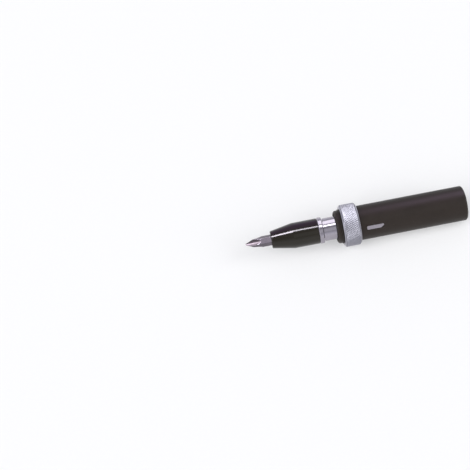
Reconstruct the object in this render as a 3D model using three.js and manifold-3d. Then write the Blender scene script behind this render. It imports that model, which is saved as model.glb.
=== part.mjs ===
// A hand impact driver. A hammer blow on the butt drives the handle towards the spindle, and the
// cam slots of a sleeve in the handle turn the spindle's cross pin, and with it the holder and bit.
// Millimetres. The axis lies along X with the bit towards -X, +Z is up, and the origin is the
// centre of the struck face. Angles about the axis are counted from +Z, by the right hand about +X.
import * as THREE from "three";
import { mergeVertices } from "three/addons/utils/BufferGeometryUtils.js";
import Module from "manifold-3d";

const wasm = await Module();
wasm.setup();

// Gaps and cuts
const RUNNING_GAP = 0.3; // radial gap of a piece that turns or slides in another
const FACE_GAP = 0.1; // gap between two flat faces that turn or part
const OVERRUN = 2; // how far a cut or a joined stub runs past the face that it meets

// Across the tool: each piece round the shaft takes its size from the one inside it
const SHAFT_DIAMETER = 19.5;
const SLEEVE_WALL = 1.65;
const NOSE_WALL = 2; // the barrel where the ring sits
const SHOULDER_HEIGHT = 0.75; // ring's seat to the handle's surface
const RING_CLIP_HEIGHT = 0.65; // ring's seat to the clip's edge
const RING_WALL = 3.65;
const FLANGE_RIM = 1.45; // the flange beyond the shaft
const HOLDER_RIM = 1.1; // the bit holder beyond the shaft

// Handle barrel, closed at the butt
const HANDLE_LENGTH = 91; // struck face to the shoulder behind the knurled ring
const BUTT_CHAMFER = 1;
const BUTT_THICKNESS = 24;
const NOSE_LENGTH = 5; // what shows in front of the ring
const NOSE_CHAMFER = 1.2;

// Knurled ring on its seat, and the clip in front of it
const RING_LENGTH = 14.5;
const RING_FRONT_CHAMFER = 1.3;
const RING_REAR_CHAMFER = 1.5;
const RING_BORE_CHAMFER = 0.4;
const RING_CLIP_THICKNESS = 1.2;
const RING_CLIP_GROOVE_DEPTH = 0.7;

// Cam sleeve, with two opposite slots that are wide in front and narrow behind
const SLEEVE_LENGTH = 40;
const SLEEVE_CHAMFER = 0.4;
const STROKE = 9; // how far the handle comes forward in a blow
const TURN = THREE.MathUtils.degToRad(20); // how far the spindle turns in a blow
const SLOT_SETBACK = 5.5; // sleeve's front face to the pin's centre before a blow

// Key that locks the sleeve in the barrel; its top shows in the handle's side
const KEY_LENGTH = 14.3;
const KEY_WIDTH = 3.25;
const KEY_SETBACK = 5.2; // shoulder behind the ring to the key's front end
const KEY_CORNER_RADIUS = 0.9;
const KEY_SLANT = 2; // how much further back the upper edge runs
const KEY_FACING = THREE.MathUtils.degToRad(59);
const KEY_GAP = 0.2; // all round the key in its window
const KEY_SINK = 0.15; // key's top below the handle's surface

// Two grub screws that hold the sleeve in the barrel, covered by the knurled ring
const SCREW_DIAMETER = 4;
const SCREW_SINK = 0.2; // below the ring's seat
const SCREW_SETBACK = 7.2; // shoulder behind the ring to the screw's axis, forwards
const SCREW_KEY_ACROSS = 2;
const SCREW_KEY_DEPTH = 1.6;
const SCREW_FACINGS = { left: Math.PI / 2, right: -Math.PI / 2 };

// Seal and clip at the mouth of the sleeve bore
const SEAL_THICKNESS = 2;
const SLEEVE_CLIP_THICKNESS = 1;
const SLEEVE_CLIP_WIDTH = 2.1; // radial
const SLEEVE_CLIP_GROOVE_DEPTH = 0.7;
const CLIP_OPENING = THREE.MathUtils.degToRad(24); // the break in each clip

// Spindle: square drive, flange, shaft, and a tail that centres the spring
const SHAFT_EXPOSED = 11; // nose to flange before a blow
const SHAFT_BEHIND_PIN = 15;
const SHAFT_CHAMFER = 0.8;
const FLANGE_LENGTH = 4;
const FLANGE_EDGE = 0.6;
const RELIEF_WIDTH = 0.9; // groove behind the flange
const RELIEF_DEPTH = 0.5;
const TAIL_LENGTH = 8;
const TAIL_CHAMFER = 0.8;
const SQUARE_ACROSS = 12.7;
const SQUARE_LENGTH = 13;
const SQUARE_CORNER = 1; // chamfer along each corner of the square and of its socket
const SQUARE_END_CHAMFER = 1;
const PIN_DIAMETER = 5;

// Ball detent in the top flat of the square drive
const BALL_DIAMETER = 4;
const BALL_SETBACK = 6.5; // flange's front face to the ball's centre
const BALL_STANDS_OUT = 0.8;
const BALL_HOLE_DEPTH = 8;
const DETENT_WIRE = 0.5;
const DETENT_SPRING_DIAMETER = 3.6;
const DETENT_TURNS = 3;

// Main spring between the seat at the bottom of the bore and the thrust washer
const SPRING_WIRE = 2.8;
const SPRING_CLEARANCE = 0.75; // spring to the bore round it
const PILOT_CLEARANCE = 1.8; // spring to the tail and the pilot inside it
const SPRING_TURNS = 9; // open turns
const SPRING_END_TURNS = 1; // nearly closed turns at each end
const COIL_GAP = 0.6; // between the turns at the ends
const WASHER_THICKNESS = 2;
const WASHER_CHAMFER = 0.3;
const SEAT_THICKNESS = 3;
const SEAT_PILOT_LENGTH = 6;

// Bit holder: square socket behind, hexagon socket in front
const HOLDER_FRONT_DIAMETER = 14.8;
const HOLDER_STRAIGHT = 21.5;
const HOLDER_TAPER = 19;
const HOLDER_CHAMFER = 0.4;
const SQUARE_SOCKET_DEPTH = 13.5;
const HEX_MOUTH_CHAMFER = 0.7;
const MAGNET_DIAMETER = 5.6;
const MAGNET_LENGTH = 2;
const BIT_CLIP_SETBACK = 6; // holder's front face to the clip's middle
const BIT_CLIP_THICKNESS = 0.9;
const BIT_CLIP_WIDTH = 0.8; // radial

// Cross-point bit
const BIT_ACROSS = 8;
const BIT_LENGTH = 36;
const BIT_IN_SOCKET = 14;
const BIT_TAIL_CHAMFER = 0.8;
const BIT_POINT_LENGTH = 14.8; // where the hexagon starts to taper, to the tip
const BIT_NECK_SHARE = 0.49; // of the point's length, to where its taper steepens
const BIT_NECK_DIAMETER = 6.9;
const BIT_TIP_DIAMETER = 1.6;
const FLUTE_LENGTH = 13;
const FLUTE_ROOT_DIAMETER = 0.9; // between the flutes' floors at the tip
const FLUTE_HALF_ANGLE = THREE.MathUtils.degToRad(44);
const FLUTE_CURVE = 2.3; // power that bends a flute's floor
const FLUTES = 4;
const FLUTE_FACING = THREE.MathUtils.degToRad(32);
const HEX_FACING = THREE.MathUtils.degToRad(31); // of one flat of the bit and its socket

// Facets
const SIDES = 64; // round a turned piece that shows
const INNER_SIDES = 40; // round a turned piece inside the handle
const PIN_SIDES = 24;
const CORNER_STEPS = 6; // round each corner of a wrapped outline
const COIL_STEPS = 8; // along a turn of wire
const WIRE_SIDES = 5;
const FLUTE_STEPS = 10;

// Places along the axis, from the struck face forwards
const shoulderX = -HANDLE_LENGTH;
const ringFrontX = shoulderX - RING_LENGTH;
const noseX = ringFrontX - NOSE_LENGTH;
const boreBottomX = -BUTT_THICKNESS;
const flangeRearX = noseX - SHAFT_EXPOSED;
const flangeFrontX = flangeRearX - FLANGE_LENGTH;
const squareEndX = flangeFrontX - SQUARE_LENGTH;
const holderFrontX = flangeFrontX - HOLDER_STRAIGHT - HOLDER_TAPER;
const bitRearX = holderFrontX + BIT_IN_SOCKET;
const bitTipX = bitRearX - BIT_LENGTH;
const sleeveClipX = noseX + SLEEVE_CLIP_THICKNESS; // clip's front face
const sealX = sleeveClipX + SLEEVE_CLIP_THICKNESS + FACE_GAP; // seal's front face
const sleeveFrontX = sealX + SEAL_THICKNESS;
const sleeveRearX = sleeveFrontX + SLEEVE_LENGTH;
const pinX = sleeveFrontX + SLOT_SETBACK;
const shaftEndX = pinX + SHAFT_BEHIND_PIN;
const springFrontX = shaftEndX + FACE_GAP + WASHER_THICKNESS + RUNNING_GAP;
const springRearX = boreBottomX - SEAT_THICKNESS - RUNNING_GAP;
const keyFrontX = shoulderX + KEY_SETBACK;
const ballX = flangeFrontX - BALL_SETBACK;

// Radii that follow from the sizes above
const shaftRadius = SHAFT_DIAMETER / 2;
const sleeveInner = shaftRadius + RUNNING_GAP;
const sleeveOuter = sleeveInner + SLEEVE_WALL;
const boreRadius = sleeveOuter + RUNNING_GAP;
const seatRadius = boreRadius + NOSE_WALL;
const handleRadius = seatRadius + SHOULDER_HEIGHT;
const ringInner = seatRadius + RUNNING_GAP;
const springRadius = sleeveInner - SPRING_CLEARANCE;
const tailRadius = springRadius - SPRING_WIRE - PILOT_CLEARANCE;
const ballZ = SQUARE_ACROSS / 2 + BALL_STANDS_OUT - BALL_DIAMETER / 2;

// A geometry with shared vertices merged, empty faces dropped and its faces turned outwards
function closed(geometry) {
  geometry.deleteAttribute("normal");
  geometry.deleteAttribute("uv");
  const merged = mergeVertices(geometry);
  const place = merged.getAttribute("position");
  const index = [];
  let volume = 0;
  const [a, b, c] = [new THREE.Vector3(), new THREE.Vector3(), new THREE.Vector3()];
  for (let i = 0; i < merged.index.count; i += 3) {
    const corners = [0, 1, 2].map((k) => merged.index.getX(i + k));
    if (new Set(corners).size < corners.length) continue;
    index.push(...corners);
    [a, b, c].forEach((point, k) => point.fromBufferAttribute(place, corners[k]));
    volume += a.dot(b.cross(c));
  }
  merged.setIndex(volume < 0 ? index.reverse() : index);
  return merged;
}

function toManifold(geometry) {
  const shape = closed(geometry);
  return new wasm.Manifold(new wasm.Mesh({
    numProp: 3,
    vertProperties: new Float32Array(shape.getAttribute("position").array),
    triVerts: new Uint32Array(shape.index.array),
  }));
}

function fromManifold(manifold) {
  const mesh = manifold.getMesh();
  const geometry = new THREE.BufferGeometry();
  geometry.setAttribute("position", new THREE.BufferAttribute(mesh.vertProperties, mesh.numProp));
  geometry.setIndex(new THREE.BufferAttribute(mesh.triVerts, 1));
  return geometry;
}

function cut(body, tools) {
  const left = tools.reduce((rest, tool) => rest.subtract(toManifold(tool)), toManifold(body));
  return fromManifold(left);
}

function joined(body, other) {
  return fromManifold(toManifold(body).add(toManifold(other)));
}

function common(body, other) {
  return fromManifold(toManifold(body).intersect(toManifold(other)));
}

// A piece turned about the axis, from a profile of [x, radius] points
function turned(profile, sides = SIDES) {
  const points = profile.map(([x, radius]) => new THREE.Vector2(radius, x));
  const geometry = new THREE.LatheGeometry(points, sides);
  geometry.rotateZ(-Math.PI / 2);
  return geometry;
}

// A turned ring inside the handle, with a chamfer on its outer edges
function washer(frontX, rearX, inner, outer, chamfer) {
  return turned([
    [frontX, inner], [frontX, outer - chamfer], [frontX + chamfer, outer],
    [rearX - chamfer, outer], [rearX, outer - chamfer], [rearX, inner], [frontX, inner],
  ], INNER_SIDES);
}

// A flat outline, drawn in Y and Z, drawn out along X from frontX to rearX
function bar(shape, frontX, rearX) {
  const geometry = new THREE.ExtrudeGeometry(shape, { depth: rearX - frontX, bevelEnabled: false });
  geometry.rotateY(Math.PI / 2);
  geometry.rotateX(Math.PI / 2);
  geometry.translate(frontX, 0, 0);
  return geometry;
}

// A regular polygon by its size across flats, one of which faces the given way
function polygon(across, count, facing) {
  const radius = across / 2 / Math.cos(Math.PI / count);
  const corners = Array.from({ length: count }, (_, k) => {
    const angle = facing + (2 * k + 1) * Math.PI / count;
    return new THREE.Vector2(-radius * Math.sin(angle), radius * Math.cos(angle));
  });
  return new THREE.Shape(corners);
}

// The square of the drive, with its corners taken off
function chamferedSquare(across, corner) {
  const half = across / 2;
  const near = half - corner;
  const points = [[half, near], [near, half], [-near, half], [-half, near],
    [-half, -near], [-near, -half], [near, -half], [half, -near]];
  return new THREE.Shape(points.map(([y, z]) => new THREE.Vector2(y, z)));
}

// A C-shaped clip of flat wire, its opening downwards
function clip(frontX, thickness, inner, outer) {
  const start = -Math.PI / 2 + CLIP_OPENING / 2;
  const end = start + 2 * Math.PI - CLIP_OPENING;
  const shape = new THREE.Shape();
  shape.absarc(0, 0, outer, start, end, false);
  shape.absarc(0, 0, inner, end, start, true);
  const geometry = new THREE.ExtrudeGeometry(shape, {
    depth: thickness, bevelEnabled: false, curveSegments: INNER_SIDES / 2,
  });
  geometry.rotateZ(Math.PI / 2);
  geometry.rotateY(Math.PI / 2);
  geometry.translate(frontX, 0, 0);
  return geometry;
}

// The outline that a circle sweeps round the given corners, as [x, u] points
function swept(corners, radius) {
  const outline = [];
  corners.forEach(([x, u], k) => {
    const before = corners[(k + corners.length - 1) % corners.length];
    const after = corners[(k + 1) % corners.length];
    const start = Math.atan2(u - before[1], x - before[0]) - Math.PI / 2;
    const bend = Math.atan2(after[1] - u, after[0] - x) - Math.PI / 2 - start;
    const sweep = bend - 2 * Math.PI * Math.floor(bend / (2 * Math.PI));
    for (let i = 0; i <= CORNER_STEPS; i += 1) {
      const angle = start + sweep * i / CORNER_STEPS;
      outline.push([x + radius * Math.cos(angle), u + radius * Math.sin(angle)]);
    }
  });
  return outline;
}

// A solid lofted through rings of points, all with the same count
function lofted(rings) {
  const count = rings[0].length;
  const index = [];
  for (let ring = 0; ring + 1 < rings.length; ring += 1) {
    for (let k = 0; k < count; k += 1) {
      const [a, b] = [ring * count + k, ring * count + (k + 1) % count];
      index.push(a, b, b + count, a, b + count, a + count);
    }
  }
  for (let k = 1; k + 1 < count; k += 1) {
    const last = (rings.length - 1) * count;
    index.push(0, k + 1, k, last, last + k, last + k + 1);
  }
  const geometry = new THREE.BufferGeometry();
  const places = new Float32Array(rings.flat().flatMap((point) => point.toArray()));
  geometry.setAttribute("position", new THREE.BufferAttribute(places, 3));
  geometry.setIndex(index);
  return geometry;
}

// An outline of [x, u] points wrapped on a cylinder, u being an arc at the base radius
function wrapped(outline, base, low, high, facing) {
  return lofted([low, high].map((radius) => outline.map(([x, u]) => {
    const angle = facing + u / base;
    return new THREE.Vector3(x, -radius * Math.sin(angle), radius * Math.cos(angle));
  })));
}

// The line of a wire coiled about the axis, with nearly closed turns and straight ends
function coilPoints(length, radius, wire, turns, endTurns) {
  const points = [];
  const mean = radius - wire / 2;
  const endRise = (wire + COIL_GAP) * endTurns;
  const rise = (length - wire - 2 * endRise) / turns;
  const steps = (turns + 2 * endTurns) * COIL_STEPS;
  for (let i = 0; i <= steps; i += 1) {
    const turn = i / COIL_STEPS;
    const open = Math.min(Math.max(turn - endTurns, 0), turns);
    const shut = Math.min(turn, endTurns) + Math.max(turn - endTurns - turns, 0);
    const angle = 2 * Math.PI * turn;
    const along = wire / 2 + open * rise + shut * (wire + COIL_GAP);
    points.push(new THREE.Vector3(along, mean * Math.cos(angle), mean * Math.sin(angle)));
  }
  points.unshift(points[0].clone().add(new THREE.Vector3(0, 0, -wire)));
  points.push(points[steps + 1].clone().add(new THREE.Vector3(0, 0, wire)));
  return points;
}

// The least gap of a wire to itself, measured between points that lie most of a turn apart
function leastGap(points, wire) {
  let least = Infinity;
  points.forEach((point, i) => {
    for (let k = i + COIL_STEPS - 2; k < points.length; k += 1) {
      least = Math.min(least, point.distanceTo(points[k]) - wire);
    }
  });
  return least;
}

function coil(name, { length, radius, wire, turns, endTurns }) {
  const points = coilPoints(length, radius, wire, turns, endTurns);
  console.log(`${name}: least gap to itself ${leastGap(points, wire).toFixed(2)} mm`);
  const section = new THREE.Shape(Array.from({ length: WIRE_SIDES }, (_, k) => {
    const angle = 2 * Math.PI * k / WIRE_SIDES;
    return new THREE.Vector2(Math.cos(angle), Math.sin(angle)).multiplyScalar(wire / 2);
  }));
  return new THREE.ExtrudeGeometry(section, {
    steps: points.length - 1, extrudePath: new THREE.CatmullRomCurve3(points),
  });
}

function keyOutline(grow) {
  const near = KEY_WIDTH / 2 - KEY_CORNER_RADIUS;
  const front = keyFrontX + KEY_CORNER_RADIUS;
  const rear = keyFrontX + KEY_LENGTH - KEY_CORNER_RADIUS;
  const corners = [[front, -near], [rear, -near], [rear - KEY_SLANT, near], [front, near]];
  return swept(corners, KEY_CORNER_RADIUS + grow);
}

function keyWindow(low, high) {
  return wrapped(keyOutline(KEY_GAP), handleRadius, low, high, KEY_FACING);
}

// The way that one end of the cross pin takes: from the tightening corner, at angle zero, either
// across to the loosening corner or back to the apex in a blow
function camSlot(facing) {
  const across = 2 * TURN * sleeveInner;
  const corners = [[pinX, 0], [pinX, -across], [pinX + STROKE, -across / 2]];
  const outline = swept(corners, PIN_DIAMETER / 2 + RUNNING_GAP);
  return wrapped(outline, sleeveInner, sleeveInner / 2, 2 * sleeveOuter, facing);
}

function barrel() {
  const clipGroove = seatRadius - RING_CLIP_GROOVE_DEPTH;
  const clipFrontX = ringFrontX - RING_CLIP_THICKNESS - 2 * FACE_GAP;
  const innerGroove = boreRadius + SLEEVE_CLIP_GROOVE_DEPTH;
  const body = turned([
    [0, 0], [0, handleRadius - BUTT_CHAMFER], [-BUTT_CHAMFER, handleRadius],
    [shoulderX, handleRadius], [shoulderX, seatRadius],
    [ringFrontX, seatRadius], [ringFrontX, clipGroove],
    [clipFrontX, clipGroove], [clipFrontX, seatRadius],
    [noseX + NOSE_CHAMFER, seatRadius], [noseX, seatRadius - NOSE_CHAMFER], [noseX, boreRadius],
    [sleeveClipX - FACE_GAP, boreRadius], [sleeveClipX - FACE_GAP, innerGroove],
    [sealX, innerGroove], [sealX, boreRadius],
    [sleeveRearX, boreRadius], [sleeveRearX, sleeveInner], [boreBottomX, sleeveInner],
    [boreBottomX, 0],
  ]);
  return cut(body, [keyWindow(sleeveInner, handleRadius + OVERRUN), ...screwHoles()]);
}

function knurledRing() {
  const frontX = ringFrontX + FACE_GAP;
  const rearX = shoulderX - FACE_GAP;
  const outer = ringInner + RING_WALL;
  return turned([
    [frontX, ringInner + RING_BORE_CHAMFER], [frontX, outer - RING_FRONT_CHAMFER],
    [frontX + RING_FRONT_CHAMFER, outer], [rearX - RING_REAR_CHAMFER, outer],
    [rearX, outer - RING_REAR_CHAMFER], [rearX, ringInner + RING_BORE_CHAMFER],
    [rearX - RING_BORE_CHAMFER, ringInner], [frontX + RING_BORE_CHAMFER, ringInner],
    [frontX, ringInner + RING_BORE_CHAMFER],
  ]);
}

function ringClip() {
  const inner = seatRadius - RING_CLIP_GROOVE_DEPTH + RUNNING_GAP;
  const frontX = ringFrontX - FACE_GAP - RING_CLIP_THICKNESS;
  return clip(frontX, RING_CLIP_THICKNESS, inner, seatRadius + RING_CLIP_HEIGHT);
}

function camSleeve() {
  const body = washer(sleeveFrontX, sleeveRearX, sleeveInner, sleeveOuter, SLEEVE_CHAMFER);
  const slots = [camSlot(0), camSlot(Math.PI)];
  return cut(body, [...slots, keyWindow(sleeveInner - OVERRUN, handleRadius), ...screwHoles()]);
}

// A round rod at right angles to the axis, facing the given way, between two radii
function radialRod(x, diameter, low, high, facing) {
  const geometry = new THREE.CylinderGeometry(diameter / 2, diameter / 2, high - low, PIN_SIDES);
  geometry.rotateX(Math.PI / 2);
  geometry.translate(x, 0, (low + high) / 2);
  geometry.rotateX(facing);
  return geometry;
}

function screwHoles() {
  const diameter = SCREW_DIAMETER + 2 * RUNNING_GAP;
  const x = shoulderX - SCREW_SETBACK;
  return Object.values(SCREW_FACINGS).map(
    (facing) => radialRod(x, diameter, sleeveInner - OVERRUN, handleRadius, facing),
  );
}

function sleeveScrew(facing) {
  const x = shoulderX - SCREW_SETBACK;
  const low = sleeveInner + RUNNING_GAP;
  const high = seatRadius - SCREW_SINK;
  const recess = new THREE.ExtrudeGeometry(polygon(SCREW_KEY_ACROSS, 6, 0), {
    depth: SCREW_KEY_DEPTH + OVERRUN, bevelEnabled: false,
  });
  recess.translate(x, 0, high - SCREW_KEY_DEPTH);
  recess.rotateX(facing);
  return cut(radialRod(x, SCREW_DIAMETER, low, high, facing), [recess]);
}

function sleeveKey() {
  const low = sleeveInner + RUNNING_GAP;
  return wrapped(keyOutline(0), handleRadius, low, handleRadius - KEY_SINK, KEY_FACING);
}

function sleeveClip() {
  const outer = boreRadius + SLEEVE_CLIP_GROOVE_DEPTH - FACE_GAP;
  return clip(sleeveClipX, SLEEVE_CLIP_THICKNESS, outer - SLEEVE_CLIP_WIDTH, outer);
}

function spindleSeal() {
  return washer(sealX, sleeveFrontX, sleeveInner, sleeveOuter, WASHER_CHAMFER);
}

function springSeat() {
  const frontX = boreBottomX - SEAT_THICKNESS;
  const pilotX = frontX - SEAT_PILOT_LENGTH;
  return turned([
    [pilotX, 0], [pilotX, tailRadius - TAIL_CHAMFER], [pilotX + TAIL_CHAMFER, tailRadius],
    [frontX, tailRadius], [frontX, shaftRadius - WASHER_CHAMFER],
    [frontX + WASHER_CHAMFER, shaftRadius],
    [boreBottomX - FACE_GAP, shaftRadius], [boreBottomX - FACE_GAP, 0],
  ], INNER_SIDES);
}

function mainSpring() {
  const geometry = coil("main_spring", {
    length: springRearX - springFrontX,
    radius: springRadius,
    wire: SPRING_WIRE,
    turns: SPRING_TURNS,
    endTurns: SPRING_END_TURNS,
  });
  geometry.translate(springFrontX, 0, 0);
  return geometry;
}

function thrustWasher() {
  const frontX = shaftEndX + FACE_GAP;
  const inner = tailRadius + RUNNING_GAP;
  return washer(frontX, frontX + WASHER_THICKNESS, inner, shaftRadius, WASHER_CHAMFER);
}

function spindle() {
  const flange = shaftRadius + FLANGE_RIM;
  const relief = shaftRadius - RELIEF_DEPTH;
  const reliefX = flangeRearX + RELIEF_WIDTH;
  const tailX = shaftEndX + TAIL_LENGTH;
  const shaft = turned([
    [flangeFrontX, 0], [flangeFrontX, flange - FLANGE_EDGE], [flangeFrontX + FLANGE_EDGE, flange],
    [flangeRearX - FLANGE_EDGE, flange], [flangeRearX, flange - FLANGE_EDGE],
    [flangeRearX, relief], [reliefX, relief], [reliefX, shaftRadius],
    [shaftEndX - SHAFT_CHAMFER, shaftRadius], [shaftEndX, shaftRadius - SHAFT_CHAMFER],
    [shaftEndX, tailRadius], [tailX - TAIL_CHAMFER, tailRadius], [tailX, tailRadius - TAIL_CHAMFER],
    [tailX, 0],
  ]);
  const square = bar(chamferedSquare(SQUARE_ACROSS, SQUARE_CORNER), squareEndX, flangeFrontX + OVERRUN);
  const corner = (SQUARE_ACROSS - SQUARE_CORNER) * Math.SQRT1_2;
  const end = turned([
    [squareEndX, 0], [squareEndX, corner - SQUARE_END_CHAMFER],
    [squareEndX + SQUARE_END_CHAMFER, corner],
    [flangeFrontX + OVERRUN, corner], [flangeFrontX + OVERRUN, 0],
  ]);
  const pinHole = radialRod(pinX, PIN_DIAMETER + 2 * FACE_GAP, -sleeveInner, sleeveInner, 0);
  const flat = SQUARE_ACROSS / 2;
  const ballHole = radialRod(
    ballX, BALL_DIAMETER + 2 * RUNNING_GAP, flat - BALL_HOLE_DEPTH, flat + OVERRUN, 0,
  );
  return cut(joined(shaft, common(square, end)), [pinHole, ballHole]);
}

// The cross pin lies through the spindle, its ends in the sleeve's slots
function drivePin() {
  const reach = sleeveOuter - RUNNING_GAP;
  return radialRod(pinX, PIN_DIAMETER, -reach, reach, 0);
}

function detentBall() {
  const geometry = new THREE.SphereGeometry(BALL_DIAMETER / 2, PIN_SIDES, PIN_SIDES / 2);
  geometry.translate(ballX, 0, ballZ);
  return geometry;
}

function detentSpring() {
  const top = ballZ - BALL_DIAMETER / 2 - RUNNING_GAP;
  const floor = SQUARE_ACROSS / 2 - BALL_HOLE_DEPTH + RUNNING_GAP;
  const geometry = coil("detent_spring", {
    length: top - floor,
    radius: DETENT_SPRING_DIAMETER / 2,
    wire: DETENT_WIRE,
    turns: DETENT_TURNS,
    endTurns: 0,
  });
  geometry.rotateY(-Math.PI / 2);
  geometry.translate(ballX, 0, floor);
  return geometry;
}

function bitHolder() {
  const rear = shaftRadius + HOLDER_RIM;
  const front = HOLDER_FRONT_DIAMETER / 2;
  const body = turned([
    [holderFrontX, 0], [holderFrontX, front - HOLDER_CHAMFER], [holderFrontX + HOLDER_CHAMFER, front],
    [holderFrontX + HOLDER_TAPER, rear], [flangeFrontX - HOLDER_CHAMFER, rear],
    [flangeFrontX, rear - HOLDER_CHAMFER], [flangeFrontX, 0],
  ]);
  const squareAcross = SQUARE_ACROSS + 2 * RUNNING_GAP;
  const square = chamferedSquare(squareAcross, SQUARE_CORNER);
  const squareSocket = bar(square, flangeFrontX - SQUARE_SOCKET_DEPTH, flangeFrontX + OVERRUN);
  const track = ballTrack(squareAcross / 2);
  const hexAcross = BIT_ACROSS + 2 * RUNNING_GAP;
  const hexFloorX = bitRearX + RUNNING_GAP;
  const hexagon = polygon(hexAcross, 6, HEX_FACING);
  const hexSocket = bar(hexagon, holderFrontX - OVERRUN, hexFloorX);
  const mouth = hexAcross / Math.sqrt(3) + HEX_MOUTH_CHAMFER;
  const mouthCone = turned([
    [holderFrontX - OVERRUN, 0], [holderFrontX - OVERRUN, mouth + OVERRUN], [holderFrontX, mouth],
    [holderFrontX + mouth, 0],
  ]);
  const magnetRadius = MAGNET_DIAMETER / 2 + FACE_GAP;
  const magnetPocket = turned([
    [hexFloorX - OVERRUN, 0], [hexFloorX - OVERRUN, magnetRadius],
    [hexFloorX + MAGNET_LENGTH + FACE_GAP, magnetRadius], [hexFloorX + MAGNET_LENGTH + FACE_GAP, 0],
  ], PIN_SIDES);
  const [clipInner, clipOuter] = bitClipRadii();
  const clipX = holderFrontX + BIT_CLIP_SETBACK - BIT_CLIP_THICKNESS / 2;
  const clipGroove = turned([
    [clipX - FACE_GAP, 0], [clipX - FACE_GAP, clipOuter + FACE_GAP],
    [clipX + BIT_CLIP_THICKNESS + FACE_GAP, clipOuter + FACE_GAP],
    [clipX + BIT_CLIP_THICKNESS + FACE_GAP, 0],
  ]);
  return cut(body, [squareSocket, track, hexSocket, mouthCone, magnetPocket, clipGroove]);
}

// The groove in the socket's upper wall that the detent ball runs in
function ballTrack(wall) {
  const radius = BALL_DIAMETER / 2 + RUNNING_GAP;
  const depth = wall - SQUARE_ACROSS / 2 + BALL_STANDS_OUT + RUNNING_GAP;
  const shape = new THREE.Shape();
  shape.absarc(0, 0, radius, 0, 2 * Math.PI, false);
  const geometry = bar(shape, ballX - radius, flangeFrontX + OVERRUN);
  geometry.translate(0, 0, SQUARE_ACROSS / 2 - radius + depth);
  return geometry;
}

function bitClipRadii() {
  const inner = BIT_ACROSS / Math.sqrt(3) + RUNNING_GAP;
  return [inner, inner + BIT_CLIP_WIDTH];
}

function bitClip() {
  const [inner, outer] = bitClipRadii();
  const frontX = holderFrontX + BIT_CLIP_SETBACK - BIT_CLIP_THICKNESS / 2;
  return clip(frontX, BIT_CLIP_THICKNESS, inner, outer);
}

function holderMagnet() {
  const frontX = bitRearX + RUNNING_GAP;
  const radius = MAGNET_DIAMETER / 2;
  return turned([[frontX, 0], [frontX, radius], [frontX + MAGNET_LENGTH, radius],
    [frontX + MAGNET_LENGTH, 0]], PIN_SIDES);
}

// The floor of a flute runs in from the surface on a curve towards the tip
function flute(angle) {
  const start = BIT_ACROSS / Math.sqrt(3);
  const root = FLUTE_ROOT_DIAMETER / 2;
  const top = BIT_ACROSS;
  const rings = [];
  for (let i = 0; i <= FLUTE_STEPS; i += 1) {
    const share = i / FLUTE_STEPS;
    const floor = root + (start - root) * share ** FLUTE_CURVE;
    const half = (top - floor) * Math.tan(FLUTE_HALF_ANGLE);
    const lead = i === 0 ? OVERRUN : 0;
    const x = bitTipX + FLUTE_LENGTH * share - lead;
    const ring = [[0, floor], [half, top], [-half, top]];
    rings.push(ring.map(([y, z]) => new THREE.Vector3(x, y, z)));
  }
  const geometry = lofted(rings);
  geometry.rotateX(angle);
  return geometry;
}

function bit() {
  const corner = BIT_ACROSS / Math.sqrt(3);
  const neckX = bitTipX + BIT_POINT_LENGTH * BIT_NECK_SHARE;
  const envelope = turned([
    [bitTipX, 0], [bitTipX, BIT_TIP_DIAMETER / 2], [neckX, BIT_NECK_DIAMETER / 2],
    [bitTipX + BIT_POINT_LENGTH, corner], [bitRearX - BIT_TAIL_CHAMFER, corner],
    [bitRearX, corner - BIT_TAIL_CHAMFER], [bitRearX, 0],
  ]);
  const hexagon = bar(polygon(BIT_ACROSS, 6, HEX_FACING), bitTipX - OVERRUN, bitRearX + OVERRUN);
  const blank = common(envelope, hexagon);
  const angles = Array.from({ length: FLUTES }, (_, k) => FLUTE_FACING + 2 * Math.PI * k / FLUTES);
  return cut(blank, angles.map(flute));
}

const blackened = { color: 0x3c383a, roughness: 0.42, metalness: 0.6 };
const glossBlack = { color: 0x2a292b, roughness: 0.22, metalness: 0.7 };
const bright = { color: 0xcfcdd4, roughness: 0.2, metalness: 1 };
const plated = { color: 0xc3c2ce, roughness: 0.38, metalness: 0.9 };
const gunmetal = { color: 0x8b7f8c, roughness: 0.3, metalness: 0.9 };
const springSteel = { color: 0x6d6a70, roughness: 0.35, metalness: 0.9 };
const rubber = { color: 0x1c1c1e, roughness: 0.8, metalness: 0 };

const pieces = [
  ["handle_barrel", barrel, blackened],
  ["cam_sleeve", camSleeve, bright],
  ["sleeve_key", sleeveKey, bright],
  ...Object.entries(SCREW_FACINGS).map(
    ([side, facing]) => [`sleeve_screw_${side}`, () => sleeveScrew(facing), springSteel],
  ),
  ["sleeve_clip", sleeveClip, springSteel],
  ["spindle_seal", spindleSeal, rubber],
  ["ring_clip", ringClip, blackened],
  ["knurled_ring", knurledRing, plated],
  ["spring_seat", springSeat, springSteel],
  ["main_spring", mainSpring, springSteel],
  ["thrust_washer", thrustWasher, bright],
  ["spindle", spindle, bright],
  ["drive_pin", drivePin, bright],
  ["detent_ball", detentBall, bright],
  ["detent_spring", detentSpring, springSteel],
  ["bit_holder", bitHolder, glossBlack],
  ["bit_clip", bitClip, springSteel],
  ["holder_magnet", holderMagnet, plated],
  ["bit", bit, gunmetal],
];

const driver = new THREE.Group();
for (const [name, make, finish] of pieces) {
  const mesh = new THREE.Mesh(closed(make()).toNonIndexed(), new THREE.MeshStandardMaterial(finish));
  mesh.geometry.computeVertexNormals();
  mesh.name = name;
  driver.add(mesh);
}

export default driver;
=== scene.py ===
"""
Looks of a hand impact driver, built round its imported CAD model.

Lengths are in metres, +Z is up, the struck face is at the origin and the bit lies towards -X.
"""

import math

import bmesh
import bpy
from mathutils import Matrix, Vector

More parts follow.
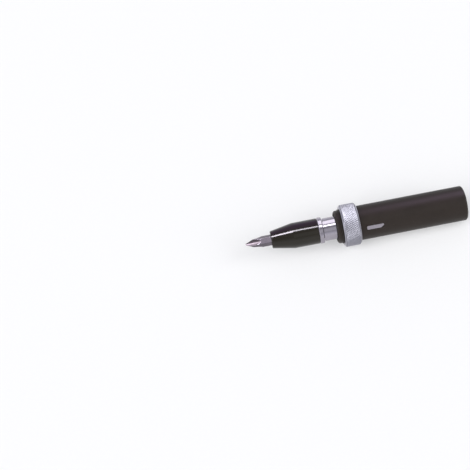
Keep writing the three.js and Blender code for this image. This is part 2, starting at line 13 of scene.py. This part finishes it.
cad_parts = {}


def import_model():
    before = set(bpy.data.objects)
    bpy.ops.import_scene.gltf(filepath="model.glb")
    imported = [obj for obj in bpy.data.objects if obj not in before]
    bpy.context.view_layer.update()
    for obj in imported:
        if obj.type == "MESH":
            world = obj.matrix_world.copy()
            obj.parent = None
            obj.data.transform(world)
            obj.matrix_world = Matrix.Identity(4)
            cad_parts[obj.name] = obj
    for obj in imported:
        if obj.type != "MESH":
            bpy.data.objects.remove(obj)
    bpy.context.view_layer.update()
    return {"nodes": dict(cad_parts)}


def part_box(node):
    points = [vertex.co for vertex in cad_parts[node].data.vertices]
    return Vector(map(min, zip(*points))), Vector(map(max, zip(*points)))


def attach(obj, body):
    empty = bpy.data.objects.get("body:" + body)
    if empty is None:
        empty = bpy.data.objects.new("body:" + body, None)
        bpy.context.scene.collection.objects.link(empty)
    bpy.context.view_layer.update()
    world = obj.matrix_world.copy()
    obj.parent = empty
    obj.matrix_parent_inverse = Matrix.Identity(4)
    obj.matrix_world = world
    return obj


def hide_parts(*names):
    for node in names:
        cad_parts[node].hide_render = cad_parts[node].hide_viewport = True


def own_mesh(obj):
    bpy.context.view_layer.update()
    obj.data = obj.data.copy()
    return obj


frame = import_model()
NODES = frame["nodes"]

# Meshes of the CAD pieces
WELD_DISTANCE = 1e-6
BEVEL_SEGMENTS = 3

# Noises of the finishes and the floor: cycles a metre, detail and roughness. The marks have their
# cycles in LOOKS, and the scratch lines in SCRATCHED.
CLOUDS = (90, 4, 0.6)
FINE_GRAIN = (2600, 3, 0.6)
WEAR_PATCHES = (700, 4, 0.65)
SCRATCH_LINES = (1, 2, 0.4)
SCRATCH_PATCHES = (120, 2, 0.5)
FLOOR_GRAIN = (400, 3, 0.5)
MARKS_DETAIL = (2, 0.6)

# Grain along X, Y and Z, by which a noise's cycles are multiplied
TURNED = (1, 0.02, 0.02)  # marks round a turned piece
DRAWN = (0.02, 1, 1)  # marks along a bar
EVEN = (1, 1, 1)
SCRATCHED = (130, 5200, 5200)

# Ranges over which what follows from a value goes from none to all
CLOUD_TONES = (0.3, 0.75)
CLOUD_GLOSS = (0.3, 0.7)
MARK_TONES = (0.35, 0.7)
WORN_EDGES = (0.995, 0.93)  # cosine of the angle between the true and the rounded normal
WORN_PATCHES = (0.38, 0.62)
SCRATCHED_LINES = (0.66, 0.72)
SCRATCHED_PATCHES = (0.45, 0.65)

# Finishes, with lengths in metres
CLOUDY_GLOSS = (0.93, 1.08)  # roughness in and out of the clouds, as shares of the finish's own
PIT_DEPTH = 0.0001
WEAR_RADIUS = 0.0003
WEAR_SAMPLES = 4
WORN_ROUGHNESS = 0.3
SCRATCH_BUMP = 0.1
SCRATCH_DEPTH = 0.00002
HOLLOW_SHADE = 0.22  # colour at the bottom of a hollow or at the edge of a flute, as a share

# Depths below the knurl's crests over which the painted shade of its hollows goes from none to all:
# down from the crests, and up from the chamfers and the bore, which stay clear of it
KNURL_SHADE_DOWN = (0.00004, 0.00034)
KNURL_SHADE_UP = (0.00062, 0.00047)
KNURL_SHADE_SHARE = 0.95

# Attribute of the bit's mesh, which places the painted shade of the flutes: 0 on the hexagon,
# FLUTE_EDGE at a flute's edge, 1 along its floor
HOLLOW = "hollow"
HOLLOW_ROUGHNESS = 0.6
FLUTE_EDGE = 0.2

# Camera, square to the tool's axis and rolled, with the tool in the right half of the picture
IMAGE_SIZE = 470
CAMERA_TARGET = (-0.094, 0, 0)
CAMERA_ELEVATION = math.radians(53)
CAMERA_ROLL = math.radians(-10.9)
CAMERA_DISTANCE = 0.900
CAMERA_RIGHT = -0.1013
CAMERA_UP = -0.0095
CAMERA_FOCAL_PIXELS = 1062.9
CAMERA_CLIP = (0.01, 10)
SENSOR_WIDTH = 36


def material(name):
    """A new node material and its empty node tree."""
    made = bpy.data.materials.new(name)
    made.use_nodes = True
    tree = made.node_tree
    tree.nodes.clear()
    return made, tree


def node(tree, kind, inputs=None, **settings):
    """A node with its settings and the constants of its sockets."""
    made = tree.nodes.new(kind)
    for key, value in settings.items():
        setattr(made, key, value)
    for key, value in (inputs or {}).items():
        made.inputs[key].default_value = value
    return made


def link(tree, start, end):
    tree.links.new(start, end)


def place(tree, scale=EVEN):
    """Object coordinates, scaled."""
    coordinates = node(tree, "ShaderNodeTexCoord")
    mapping = node(tree, "ShaderNodeMapping", {"Scale": scale})
    link(tree, coordinates.outputs["Object"], mapping.inputs["Vector"])
    return mapping.outputs["Vector"]


def noise(tree, vector, scale, detail, roughness):
    made = node(tree, "ShaderNodeTexNoise", {
        "Scale": scale, "Detail": detail, "Roughness": roughness,
    })
    link(tree, vector, made.inputs["Vector"])
    return made.outputs["Fac"]


def spread(tree, value, start, end=(0, 1)):
    """Maps a value from the range start to the range end, and holds it at that range's limits."""
    made = node(tree, "ShaderNodeMapRange", {
        "From Min": start[0], "From Max": start[1], "To Min": end[0], "To Max": end[1],
    })
    link(tree, value, made.inputs["Value"])
    return made.outputs["Result"]


def blend_colours(tree, share, first, second):
    """Goes from the first colour to the second as share goes from 0 to 1."""
    made = node(tree, "ShaderNodeMixRGB", {"Color1": (*first, 1), "Color2": (*second, 1)})
    link(tree, share, made.inputs["Fac"])
    return made.outputs["Color"]


def mix_in(tree, share, linked, second):
    """Goes from a colour that comes from nodes to a constant one as share goes from 0 to 1."""
    made = node(tree, "ShaderNodeMixRGB", {"Color2": (*second, 1)})
    link(tree, share, made.inputs["Fac"])
    link(tree, linked, made.inputs["Color1"])
    return made.outputs["Color"]


def mix_value(tree, share, linked, second):
    made = node(tree, "ShaderNodeMix", {"B": second}, data_type="FLOAT")
    link(tree, share, made.inputs["Factor"])
    link(tree, linked, made.inputs["A"])
    return made.outputs["Result"]


def distance_from_axis(tree):
    length = node(tree, "ShaderNodeVectorMath", operation="LENGTH")
    link(tree, place(tree, (0, 1, 1)), length.inputs[0])
    return length.outputs["Value"]


def times(tree, first, second):
    made = node(tree, "ShaderNodeMath", operation="MULTIPLY")
    link(tree, first, made.inputs[0])
    link(tree, second, made.inputs[1])
    return made.outputs["Value"]


def edge_wear(tree, strength):
    """From 0 on flats and round faces to strength on sharp edges, broken up by noise."""
    rounded = node(tree, "ShaderNodeBevel", {"Radius": WEAR_RADIUS}, samples=WEAR_SAMPLES)
    surface = node(tree, "ShaderNodeNewGeometry")
    turn = node(tree, "ShaderNodeVectorMath", operation="DOT_PRODUCT")
    link(tree, rounded.outputs["Normal"], turn.inputs[0])
    link(tree, surface.outputs["Normal"], turn.inputs[1])
    patches = noise(tree, place(tree), *WEAR_PATCHES)
    return times(tree, spread(tree, turn.outputs["Value"], WORN_EDGES),
                 spread(tree, patches, WORN_PATCHES, (0, strength)))


def scratches(tree, strength):
    """Fine short lines, most of them along the tool."""
    lines = noise(tree, place(tree, SCRATCHED), *SCRATCH_LINES)
    patches = noise(tree, place(tree), *SCRATCH_PATCHES)
    return times(tree, spread(tree, lines, SCRATCHED_LINES),
                 spread(tree, patches, SCRATCHED_PATCHES, (0, strength)))


def bumps(tree, heights):
    """Normals from several heights, each with its strength and its depth in metres."""
    normal = None
    for height, strength, depth in heights:
        made = node(tree, "ShaderNodeBump", {"Strength": strength, "Distance": depth})
        link(tree, height, made.inputs["Height"])
        if normal:
            link(tree, normal, made.inputs["Normal"])
        normal = made.outputs["Normal"]
    return normal


def shaded(colour):
    return tuple(HOLLOW_SHADE * part for part in colour)


def finish(name, base, dark, bare, rough, metallic=1.0, ior=1.5, grain=TURNED, grain_scale=9000,
           grain_bump=0.05, pits=0.03, wear=0.6, scratched=0.5, tint=0.5, crest=None, flute=None):
    """
    A worked metal or painted surface: marks of its making along the grain, cloudy colour and gloss,
    small pits, short scratches, and edges worn to the bare colour. Crest is the radius of a knurl's
    tops, below which its hollows are darkened as painted shade. Flute is the colour of a cutter's
    flutes along their floor; towards their edges the flutes darken to painted shade and are
    rougher.
    """
    made, tree = material(name)
    vector = place(tree)
    marks = noise(tree, place(tree, grain), grain_scale, *MARKS_DETAIL)
    cloud = noise(tree, vector, *CLOUDS)
    fine = noise(tree, vector, *FINE_GRAIN)
    colour = blend_colours(tree, spread(tree, cloud, CLOUD_TONES), dark, base)
    tinted = times(tree, spread(tree, marks, MARK_TONES, (0, tint)), fine)
    colour = mix_in(tree, tinted, colour, bare)
    # Painted shade: the knurl's hollows darker below its crests
    if crest:
        radius = distance_from_axis(tree)
        down = [crest - depth for depth in KNURL_SHADE_DOWN]
        up = [crest - depth for depth in KNURL_SHADE_UP]
        hollow = times(tree, spread(tree, radius, down, (0, KNURL_SHADE_SHARE)),
                       spread(tree, radius, up))
        colour = mix_in(tree, hollow, colour, shaded(dark))
    gloss = spread(tree, cloud, CLOUD_GLOSS, [rough * share for share in CLOUDY_GLOSS])
    # Painted shade: each flute darkest at its edge and along a thin line beside it, lighter towards
    # its floor
    if flute:
        hollow = node(tree, "ShaderNodeAttribute", attribute_name=HOLLOW).outputs["Fac"]
        inside = spread(tree, hollow, (0, FLUTE_EDGE))
        colour = mix_in(tree, inside, colour, shaded(flute))
        colour = mix_in(tree, spread(tree, hollow, (FLUTE_EDGE, 1)), colour, flute)
        gloss = mix_value(tree, inside, gloss, HOLLOW_ROUGHNESS)
    worn = edge_wear(tree, wear)
    lined = scratches(tree, scratched)
    colour = mix_in(tree, lined, mix_in(tree, worn, colour, bare), bare)
    shader = node(tree, "ShaderNodeBsdfPrincipled", {"Metallic": metallic, "IOR": ior})
    link(tree, colour, shader.inputs["Base Color"])
    worn_gloss = mix_value(tree, worn, gloss, min(rough, WORN_ROUGHNESS))
    link(tree, worn_gloss, shader.inputs["Roughness"])
    heights = ((marks, grain_bump, PIT_DEPTH), (fine, pits, PIT_DEPTH),
               (lined, SCRATCH_BUMP, SCRATCH_DEPTH))
    link(tree, bumps(tree, heights), shader.inputs["Normal"])
    output = node(tree, "ShaderNodeOutputMaterial")
    link(tree, shader.outputs["BSDF"], output.inputs["Surface"])
    return made


BARE_STEEL = (0.46, 0.43, 0.46)
WORN_BLACK = (0.10, 0.095, 0.10)
LOOKS = {
    "handle_steel": {
        "base": (0.020, 0.0145, 0.0115), "dark": (0.016, 0.0115, 0.009), "bare": WORN_BLACK,
        "rough": 0.45, "metallic": 0, "ior": 1.30, "grain": EVEN, "grain_scale": 1500,
        "grain_bump": 0.10, "pits": 0.06, "wear": 0.5, "scratched": 0.15, "tint": 0,
    },
    "ground_steel": {
        "base": (0.36, 0.335, 0.385), "dark": (0.30, 0.28, 0.32), "bare": (0.55, 0.52, 0.57),
        "rough": 0.16,
    },
    "key_steel": {
        "base": (0.34, 0.315, 0.35), "dark": (0.30, 0.275, 0.31), "bare": (0.55, 0.52, 0.55),
        "rough": 0.42, "grain": DRAWN, "grain_scale": 6000, "grain_bump": 0.03, "pits": 0.02,
        "wear": 0.4, "scratched": 0.3,
    },
    "spring_steel": {
        "base": (0.32, 0.31, 0.33), "dark": (0.20, 0.19, 0.21), "bare": BARE_STEEL,
        "rough": 0.30, "grain": EVEN, "grain_scale": 900,
    },
    "seal_rubber": {
        "base": (0.020, 0.020, 0.020), "dark": (0.012, 0.012, 0.012), "bare": (0.03, 0.03, 0.03),
        "rough": 0.70, "metallic": 0, "grain": EVEN, "grain_scale": 1200, "grain_bump": 0.1,
        "pits": 0.1, "wear": 0.3, "scratched": 0,
    },
    "plated_ring": {
        "base": (0.37, 0.365, 0.42), "dark": (0.32, 0.315, 0.365), "bare": (0.55, 0.55, 0.61),
        "rough": 0.30, "crest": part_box("knurled_ring")[1].z,
    },
    "magnet_steel": {
        "base": (0.56, 0.55, 0.60), "dark": (0.46, 0.46, 0.50), "bare": (0.66, 0.66, 0.70),
        "rough": 0.30,
    },
    "holder_steel": {
        "base": (0.0125, 0.010, 0.0055), "dark": (0.009, 0.0072, 0.0042), "bare": WORN_BLACK,
        "rough": 0.12, "metallic": 0, "ior": 1.40, "grain": EVEN, "grain_scale": 300,
        "grain_bump": 0.02, "pits": 0.01, "scratched": 0.12, "tint": 0,
    },
    "bit_steel": {
        "base": (0.155, 0.135, 0.16), "dark": (0.12, 0.105, 0.125), "bare": (0.30, 0.28, 0.30),
        "rough": 0.22, "grain": DRAWN, "grain_scale": 5000, "wear": 0,
        "flute": (0.155, 0.13, 0.148),
    },
}
MATERIALS = {name: finish(name, **look) for name, look in LOOKS.items()}

# CAD nodes with their material, the bevel of their edges in metres, and the least angle that
# counts as an edge, which is above the angle between the facets of their round faces
SHARP_64 = math.radians(8)
SHARP_40 = math.radians(12)
SHARP_24 = math.radians(20)
FINISHES = {
    "handle_barrel": ("handle_steel", 0.00025, SHARP_64),
    "cam_sleeve": ("ground_steel", 0.00010, SHARP_40),
    "sleeve_key": ("key_steel", 0.00015, SHARP_24),
    "sleeve_screw_left": ("spring_steel", 0.00012, SHARP_24),
    "sleeve_screw_right": ("spring_steel", 0.00012, SHARP_24),
    "sleeve_clip": ("spring_steel", 0.00008, SHARP_40),
    "spindle_seal": ("seal_rubber", 0.00010, SHARP_40),
    "ring_clip": ("handle_steel", 0.00010, SHARP_40),
    "spring_seat": ("spring_steel", 0.00010, SHARP_40),
    "thrust_washer": ("ground_steel", 0.00010, SHARP_40),
    "spindle": ("ground_steel", 0.00020, SHARP_64),
    "drive_pin": ("ground_steel", 0.00020, SHARP_24),
    "detent_ball": ("ground_steel", 0, SHARP_24),
    "bit_holder": ("holder_steel", 0.00015, SHARP_64),
    "bit_clip": ("spring_steel", 0.00008, SHARP_40),
    "holder_magnet": ("magnet_steel", 0.00010, SHARP_24),
}


def finish_piece(name):
    """Welds, bevels and smooths a CAD node with modifiers, and gives it its material."""
    look, bevel, sharp = FINISHES[name]
    piece = NODES[name]
    for attribute in ("custom_normal", "sharp_edge"):
        piece.data.attributes.remove(piece.data.attributes[attribute])
    weld = piece.modifiers.new("weld", "WELD")
    weld.merge_threshold = WELD_DISTANCE
    if bevel:
        edges = piece.modifiers.new("edges", "BEVEL")
        edges.width = bevel
        edges.segments = BEVEL_SEGMENTS
        edges.limit_method = "ANGLE"
        edges.angle_limit = sharp
        edges.harden_normals = True
    dress(piece, look)


def dress(piece, look):
    piece.data.materials.clear()
    piece.data.materials.append(MATERIALS[look])
    piece.data.polygons.foreach_set("use_smooth", [True] * len(piece.data.polygons))


def new_piece(name, places, faces, body, stands_for, slot):
    """A mesh piece that stands for a CAD node and rides on its body."""
    mesh = bpy.data.meshes.new(name)
    mesh.from_pydata(places, [], faces)
    mesh.update()
    piece = bpy.data.objects.new(name, mesh)
    bpy.context.scene.collection.objects.link(piece)
    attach(piece, body)
    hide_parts(stands_for)
    dress(piece, slot)
    return piece


def outward(piece):
    """Turns every face of a closed mesh outwards."""
    shape = bmesh.new()
    shape.from_mesh(piece.data)
    bmesh.ops.recalc_face_normals(shape, faces=shape.faces)
    shape.to_mesh(piece.data)
    shape.free()


def grid_faces(rows, columns, closed):
    """Faces between rows of points that run round the tool, as a tube or closed into a ring."""
    faces = []
    for row in range(rows if closed else rows - 1):
        here, there = row * columns, (row + 1) % rows * columns
        for column in range(columns):
            beside = (column + 1) % columns
            faces.append((here + column, here + beside, there + beside, there + column))
    return faces


def end_faces(count, sides):
    """The two ends of a tube of count points, with so many round each end."""
    return [tuple(range(sides)), tuple(range(count - sides, count))]


def round_tool(along, radius, angle):
    """The point at a radius and an angle from the top, a distance along the tool."""
    return along, -radius * math.sin(angle), radius * math.cos(angle)


# Knurled ring: two crossing families of grooves between the ring's two chamfers
KNURLS = 60
KNURL_LENGTH = 0.0024
KNURL_DEPTH = 0.00038
KNURL_FLAT = 0.5  # share of a knurl that is flat crest
KNURL_STEPS = 8
RING_FRONT_CHAMFER = 0.0013
RING_REAR_CHAMFER = 0.0015
RING_WALL = 0.00365
RING_BORE_CHAMFER = 0.0004
RING_SPLIT_ANGLE = math.radians(40)


def knurl(turn, along):
    """How far the knurl lies below its crests, as a share of its depth."""
    shares = [abs(2 * (family % 1) - 1) for family in (turn + along, turn - along)]
    return max(0, max(shares) - KNURL_FLAT) / (1 - KNURL_FLAT)


def knurled_ring():
    low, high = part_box("knurled_ring")
    front, rear, outer = low.x, high.x, high.z
    inner = outer - RING_WALL
    columns = KNURLS * KNURL_STEPS
    count = round((rear - front) / KNURL_LENGTH * KNURL_STEPS)
    rows = []
    for k in range(count + 1):
        x = front + (rear - front) * k / count
        chamfered = min(x - front - RING_FRONT_CHAMFER, rear - x - RING_REAR_CHAMFER, 0)
        radii = []
        for column in range(columns):
            depth = KNURL_DEPTH * knurl(column / KNURL_STEPS, (x - front) / KNURL_LENGTH)
            radii.append(outer + min(chamfered, -depth))
        rows.append((x, radii))
    bore = [
        (rear, inner + RING_BORE_CHAMFER), (rear - RING_BORE_CHAMFER, inner),
        (front + RING_BORE_CHAMFER, inner), (front, inner + RING_BORE_CHAMFER),
    ]
    rows += [(x, [radius] * columns) for x, radius in bore]
    places = []
    for x, radii in rows:
        for column, radius in enumerate(radii):
            places.append(round_tool(x, radius, 2 * math.pi * column / columns))
    faces = grid_faces(len(rows), columns, True)
    piece = new_piece("ring_knurled", places, faces, "ring", "knurled_ring", "plated_ring")
    piece.modifiers.new("edges", "EDGE_SPLIT").split_angle = RING_SPLIT_ANGLE


# Springs: round wire, the last turn at each end nearly closed and ground flat
SPRING_SIDES = 14
SPRING_STEPS = 36
SPRING_GAP = 0.02  # between the closed turns, as a share of the wire
MAIN_WIRE = 0.0028
MAIN_TURNS = 11
DETENT_WIRE = 0.0005
DETENT_TURNS = 5


def spring(name, stands_for, body, wire, turns, along_x):
    """A coil spring along X or Z that fills the box of the node that it stands for."""
    low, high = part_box(stands_for)
    middle = (low.x + high.x) / 2
    start, end = (low.x, high.x) if along_x else (low.z, high.z)
    mean = (high.y - low.y) / 2 - wire / 2
    closed = wire * (1 + SPRING_GAP)
    pitch = (end - start - 2 * closed) / (turns - 2)
    places = []
    for step in range(turns * SPRING_STEPS + 1):
        turn = step / SPRING_STEPS
        angle = 2 * math.pi * turn
        reach = start + closed * min(turn, 1) + closed * max(turn - turns + 1, 0)
        reach += pitch * min(max(turn - 1, 0), turns - 2)
        for side in range(SPRING_SIDES):
            around = 2 * math.pi * side / SPRING_SIDES
            radius = mean + wire / 2 * math.cos(around)
            far = min(max(reach + wire / 2 * math.sin(around), start), end)
            first, second = radius * math.cos(angle), radius * math.sin(angle)
            places.append((far, first, second) if along_x else (middle + first, second, far))
    faces = grid_faces(len(places) // SPRING_SIDES, SPRING_SIDES, False)
    faces += end_faces(len(places), SPRING_SIDES)
    piece = new_piece(name, places, faces, body, stands_for, "spring_steel")
    outward(piece)
    return piece


def springs():
    """The main spring and the detent's spring, each with a mesh of its own."""
    main = spring("spring_main", "main_spring", "spring_end", MAIN_WIRE, MAIN_TURNS, True)
    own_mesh(main)
    detent = spring("spring_detent", "detent_spring", "spindle", DETENT_WIRE, DETENT_TURNS, False)
    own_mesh(detent)


# Cross-point bit: a hexagon bar turned to a blunt cone, with four flutes cut towards the point
BIT_COLUMNS = 288
BIT_ROW = 0.0002
BIT_SHANK_ROWS = 12
BIT_ACROSS = 0.008
BIT_CORNER = BIT_ACROSS / math.sqrt(3)
BIT_CHAMFER = 0.0008
BIT_CONE = math.radians(26.5)  # of the wings' edges, from the axis
BIT_TIP_RADIUS = 0.0008
BIT_TIP_LENGTH = 0.0003  # of the blunt cone that ends it
BIT_TIP_FLAT = 0.1  # its end, as a share of the tip's radius
BIT_POINT_LENGTH = 0.0148
FLUTE_LENGTH = 0.013
FLUTE_ROOT = 0.00045  # flute's floor to the axis at the tip
FLUTE_ROUND = 0.0006
FLUTE_RIM = 0.0002  # rounds the flute's edge, and is the width of the painted shade line along it
FLUTE_CURVE = 2.3
FLUTE_HALF_ANGLE = math.radians(44)
FLUTE_FACING = math.radians(32)
LEAST_RISE = 0.01  # keeps a flute's wall that never meets the bit at a finite radius
HEX_FACING = math.radians(31)
HEX_SIDE = math.pi / 3
FLUTE_PITCH = math.pi / 2


def off_middle(angle, facing, pitch):
    """The angle from the middle of the nearest of several equal sides."""
    return (angle - facing + pitch / 2) % pitch - pitch / 2


def bit_radius(along, angle):
    """The bit's radius and its hollow value, by the distance from the tip and the angle."""
    flat = BIT_ACROSS / 2 / math.cos(off_middle(angle, HEX_FACING, HEX_SIDE))
    whole = min(flat, BIT_TIP_RADIUS + along * math.tan(BIT_CONE))
    if along < BIT_TIP_LENGTH:
        share = BIT_TIP_FLAT + (1 - BIT_TIP_FLAT) * along / BIT_TIP_LENGTH
        whole = min(whole, BIT_TIP_RADIUS * share)
    off = off_middle(angle, FLUTE_FACING, FLUTE_PITCH)
    floor_at = FLUTE_ROOT + (BIT_ACROSS / 2 - FLUTE_ROOT) * (along / FLUTE_LENGTH) ** FLUTE_CURVE
    rounded = math.hypot(whole * math.sin(off), FLUTE_ROUND) - FLUTE_ROUND
    rise = math.cos(off) - rounded / whole / math.tan(FLUTE_HALF_ANGLE)
    cut = floor_at / max(rise, LEAST_RISE)
    near = max(0, 1 - abs(cut - whole) / FLUTE_RIM)
    radius = min(cut, whole) - FLUTE_RIM / 4 * near ** 2
    if cut > whole:
        return radius, FLUTE_EDGE * near
    return radius, FLUTE_EDGE + (1 - FLUTE_EDGE) * (whole - cut) / (whole - floor_at)


def fluted_bit():
    low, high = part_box("bit")
    rear = high.x - low.x
    count = round(BIT_POINT_LENGTH / BIT_ROW)
    stops = [BIT_ROW * k for k in range(count)]
    shank = rear - BIT_CHAMFER - BIT_POINT_LENGTH
    stops += [BIT_POINT_LENGTH + shank * k / BIT_SHANK_ROWS for k in range(BIT_SHANK_ROWS + 1)]
    stops.append(rear)
    places, hollows = [], []
    for along in stops:
        for column in range(BIT_COLUMNS):
            angle = HEX_FACING + HEX_SIDE / 2 + 2 * math.pi * column / BIT_COLUMNS
            radius, hollow = bit_radius(along, angle)
            radius = min(radius, BIT_CORNER - max(0, along - rear + BIT_CHAMFER))
            places.append(round_tool(low.x + along, radius, angle))
            hollows.append(hollow)
    faces = grid_faces(len(stops), BIT_COLUMNS, False) + end_faces(len(places), BIT_COLUMNS)
    piece = new_piece("bit_fluted", places, faces, "bit", "bit", "bit_steel")
    outward(piece)
    piece.data.attributes.new(HOLLOW, "FLOAT", "POINT").data.foreach_set("value", hollows)


# Floor that the tool lies on, touching the knurled ring and the butt's edge
FLOOR_SIZE = 60
FLOOR_GLOW = 0.34
FLOOR_ROUGHNESS = 0.9
FLOOR_TONES = ((0.50, 0.50, 0.505), (0.52, 0.52, 0.525))
BUTT_CHAMFER = 0.001


def floor_plane():
    """A pale plane that touches the ring and the butt's lower edge."""
    low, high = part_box("knurled_ring")
    ring_radius, ring_x = high.z, (low.x + high.x) / 2
    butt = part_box("handle_barrel")[1]
    slope = (ring_radius - butt.z) / (butt.x - BUTT_CHAMFER - ring_x)
    bpy.ops.mesh.primitive_plane_add(size=FLOOR_SIZE, location=(ring_x, 0, -ring_radius))
    floor = bpy.context.object
    floor.name = "floor"
    floor.rotation_euler = (0, -math.atan(slope), 0)
    made, tree = material("floor_paper")
    tones = blend_colours(tree, noise(tree, place(tree), *FLOOR_GRAIN), *FLOOR_TONES)
    shader = node(tree, "ShaderNodeBsdfPrincipled", {
        "Roughness": FLOOR_ROUGHNESS, "Emission Color": (1, 1, 1, 1),
        "Emission Strength": FLOOR_GLOW,
    })
    link(tree, tones, shader.inputs["Base Color"])
    output = node(tree, "ShaderNodeOutputMaterial")
    link(tree, shader.outputs["BSDF"], output.inputs["Surface"])
    floor.data.materials.append(made)


# Suns: direction towards each and its strength
SUN_ANGLE = math.radians(50)
SUNS = {
    "left_sun": ((-0.75, -0.35, 0.56), 2.25),
    "right_sun": ((0.75, -0.35, 0.56), 1.95),
}

# World: its colour and its strength from the horizon up to where it stays the same
WORLD_COLOUR = (0.93, 0.94, 1.0)
WORLD_STRENGTH = (1.10, 0.45)
WORLD_EVEN_FROM = 0.6

# Glowing cards that only show in the gloss of some pieces: those pieces, the card's middle, the
# point that it faces, its two sides, its radiance and its colour
SHAFT = ("spindle",)
RING = ("ring_knurled",)
HOLDER = ("bit_holder",)
HANDLE = ("handle_barrel", "ring_clip")
BIT = ("bit_fluted",)
WHITE = (1, 1, 1)
WARM_WHITE = (0.99, 0.97, 1.0)
CARDS = {
    "taper_card": (HOLDER, (-0.31, 0.02, 0.5), (-0.31, 0.02, 0), (0.18, 0.12), 38,
                   (0.96, 0.89, 1.0)),
    "holder_card": (HOLDER, (-0.11, 0.03, 0.5), (-0.11, 0.03, 0), (0.18, 0.09), 26,
                    (0.95, 0.90, 1.0)),
    "line_card": (SHAFT + RING, (-0.07, -0.01, 0.5), (-0.07, -0.01, 0), (0.20, 0.10), 7,
                  WARM_WHITE),
    "violet_card": (HOLDER, (-0.10, 0.40, 0.34), (-0.13, 0, 0), (0.50, 0.60), 0.42,
                    (0.65, 0.10, 1.0)),
    "band_card": (SHAFT + RING, (-0.05, 0.30, 0.40), (-0.05, 0, 0), (0.40, 0.36), 2.1,
                  WARM_WHITE),
    "ring_card": (RING, (-0.05, 0.20, 0.47), (-0.05, 0, 0), (0.40, 0.46), 4.4,
                  (0.97, 0.97, 1.0)),
    "front_card": (SHAFT + HOLDER, (-0.08, -0.34, 0.36), (-0.08, 0, 0), (0.40, 0.26), 0.35,
                   WHITE),
    "low_card": (RING, (-0.08, -0.55, 0.06), (-0.08, 0, 0), (0.50, 0.20), 0.5,
                 (0.98, 0.97, 1.0)),
    "handle_card": (HANDLE, (0.20, 0.37, 0.59), (0.10, 0, 0), (0.32, 0.40), 6.5,
                    (0.92, 0.70, 1.0)),
    "bit_card": (BIT, (-0.165, -0.24, 0.49), (-0.165, 0, 0), (0.10, 0.16), 1.25,
                 (0.97, 0.93, 1.0)),
    "flute_card": (BIT, (-0.29, 0.05, 0.50), (-0.18, 0, 0), (0.20, 0.12), 230,
                   (0.96, 0.97, 1.0)),
}


def light(name, kind, towards):
    """A light of a kind that shines in a direction."""
    made = bpy.data.objects.new(name, bpy.data.lights.new(name, kind))
    bpy.context.scene.collection.objects.link(made)
    made.rotation_mode = "QUATERNION"
    made.rotation_quaternion = towards.to_track_quat("-Z", "Y")
    return made


def card(name, pieces, middle, aim, size, radiance, colour):
    made = light(name, "AREA", Vector(aim) - Vector(middle))
    made.location = middle
    made.visible_diffuse = False
    made.data.shape = "RECTANGLE"
    made.data.size, made.data.size_y = size
    made.data.energy = radiance * math.pi * size[0] * size[1]
    made.data.color = colour
    lit = bpy.data.collections.new(name)
    for piece in pieces:
        lit.objects.link(NODES.get(piece) or bpy.data.objects[piece])
    made.light_linking.receiver_collection = lit


def sun(name, direction, strength):
    made = light(name, "SUN", -Vector(direction))
    made.data.energy = strength
    made.data.angle = SUN_ANGLE


def world():
    made = bpy.data.worlds.new("studio")
    bpy.context.scene.world = made
    made.use_nodes = True
    tree = made.node_tree
    background = tree.nodes["Background"]
    background.inputs["Color"].default_value = (*WORLD_COLOUR, 1)
    parts = node(tree, "ShaderNodeSeparateXYZ")
    link(tree, node(tree, "ShaderNodeTexCoord").outputs["Generated"], parts.inputs["Vector"])
    strength = spread(tree, parts.outputs["Z"], (0, WORLD_EVEN_FROM), WORLD_STRENGTH)
    link(tree, strength, background.inputs["Strength"])


def camera():
    back = Vector((0, -math.cos(CAMERA_ELEVATION), math.sin(CAMERA_ELEVATION)))
    level = Vector((1, 0, 0))
    right = level * math.cos(CAMERA_ROLL) + back.cross(level) * math.sin(CAMERA_ROLL)
    up = back.cross(right)
    data = bpy.data.cameras.new("camera")
    data.sensor_width = SENSOR_WIDTH
    data.lens = CAMERA_FOCAL_PIXELS / IMAGE_SIZE * SENSOR_WIDTH
    data.clip_start, data.clip_end = CAMERA_CLIP
    made = bpy.data.objects.new("camera", data)
    bpy.context.scene.collection.objects.link(made)
    off = right * CAMERA_RIGHT + up * CAMERA_UP
    made.location = Vector(CAMERA_TARGET) + back * CAMERA_DISTANCE + off
    made.rotation_mode = "QUATERNION"
    made.rotation_quaternion = Matrix((right, up, back)).transposed().to_quaternion()
    bpy.context.scene.camera = made


for name in FINISHES:
    finish_piece(name)
knurled_ring()
fluted_bit()
springs()
floor_plane()
for name, values in SUNS.items():
    sun(name, *values)
for name, values in CARDS.items():
    card(name, *values)
world()
camera()
bpy.context.scene.view_settings.view_transform = "Standard"
